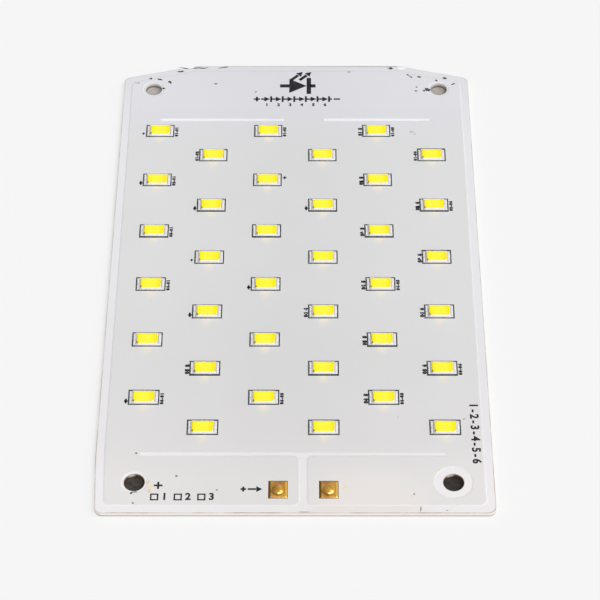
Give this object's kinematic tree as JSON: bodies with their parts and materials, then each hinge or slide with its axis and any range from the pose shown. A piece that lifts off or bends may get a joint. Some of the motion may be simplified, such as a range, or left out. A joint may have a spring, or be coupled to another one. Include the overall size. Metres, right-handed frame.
{
  "type": "led array board",
  "caption": "Flat aluminium-core circuit board with staggered rows of yellow-phosphor surface-mount LEDs, corner screw holes and a pair of gilt wire pads.",
  "frame": {"origin": "centre of the plate's underside", "axes": "+Z out of the lit face, +Y along the board towards the end with the sloped corners, +X to the right, on the minus bus's side"},
  "size_m": [0.0804, 0.128, 0.0018],
  "materials": {
    "bare_aluminium": "rolled sheet, punched edge",
    "filled_epoxy": "pressed filled epoxy",
    "copper_foil": "etched copper foil",
    "white_solder_mask": "semi-gloss screen-printed mask",
    "black_ink": "screen-printed ink",
    "gilt_pad": "bright gilt",
    "white_moulding": "moulded white plastic",
    "silvered_lead": "silver plate",
    "led_die": "polished die",
    "gold_wire": "drawn gold wire",
    "phosphor_silicone": "cured phosphor silicone",
    "tin_solder": "reflowed solder"
  },
  "bodies": {
    "root": {"base_plate": "bare_aluminium", "dielectric_layer": "filled_epoxy", "plus_bus": "copper_foil", "minus_bus": "copper_foil", "string_1_copper": "copper_foil", "string_2_copper": "copper_foil", "string_3_copper": "copper_foil", "string_4_copper": "copper_foil", "string_5_copper": "copper_foil", "string_6_copper": "copper_foil", "solder_mask": "white_solder_mask", "legend_frames": "black_ink", "plus_wire_pad": "gilt_pad", "minus_wire_pad": "gilt_pad", "led_housing_01": "white_moulding", "led_housing_02": "white_moulding", "led_housing_03": "white_moulding", "led_housing_04": "white_moulding", "led_housing_05": "white_moulding", "led_housing_06": "white_moulding", "led_housing_07": "white_moulding", "led_housing_08": "white_moulding", "led_housing_09": "white_moulding", "led_housing_10": "white_moulding", "led_housing_11": "white_moulding", "led_housing_12": "white_moulding", "led_housing_13": "white_moulding", "led_housing_14": "white_moulding", "led_housing_15": "white_moulding", "led_housing_16": "white_moulding", "led_housing_17": "white_moulding", "led_housing_18": "white_moulding", "led_housing_19": "white_moulding", "led_housing_20": "white_moulding", "led_housing_21": "white_moulding", "led_housing_22": "white_moulding", "led_housing_23": "white_moulding", "led_housing_24": "white_moulding", "led_housing_25": "white_moulding", "led_housing_26": "white_moulding", "led_housing_27": "white_moulding", "led_housing_28": "white_moulding", "led_housing_29": "white_moulding", "led_housing_30": "white_moulding", "led_housing_31": "white_moulding", "led_housing_32": "white_moulding", "led_housing_33": "white_moulding", "led_housing_34": "white_moulding", "led_housing_35": "white_moulding", "led_housing_36": "white_moulding", "anode_leads": "silvered_lead", "cathode_leads": "silvered_lead", "led_dies": "led_die", "bond_wires": "gold_wire", "phosphor_fills": "phosphor_silicone", "solder_joints": "tin_solder"}
  },
  "joints": []
}
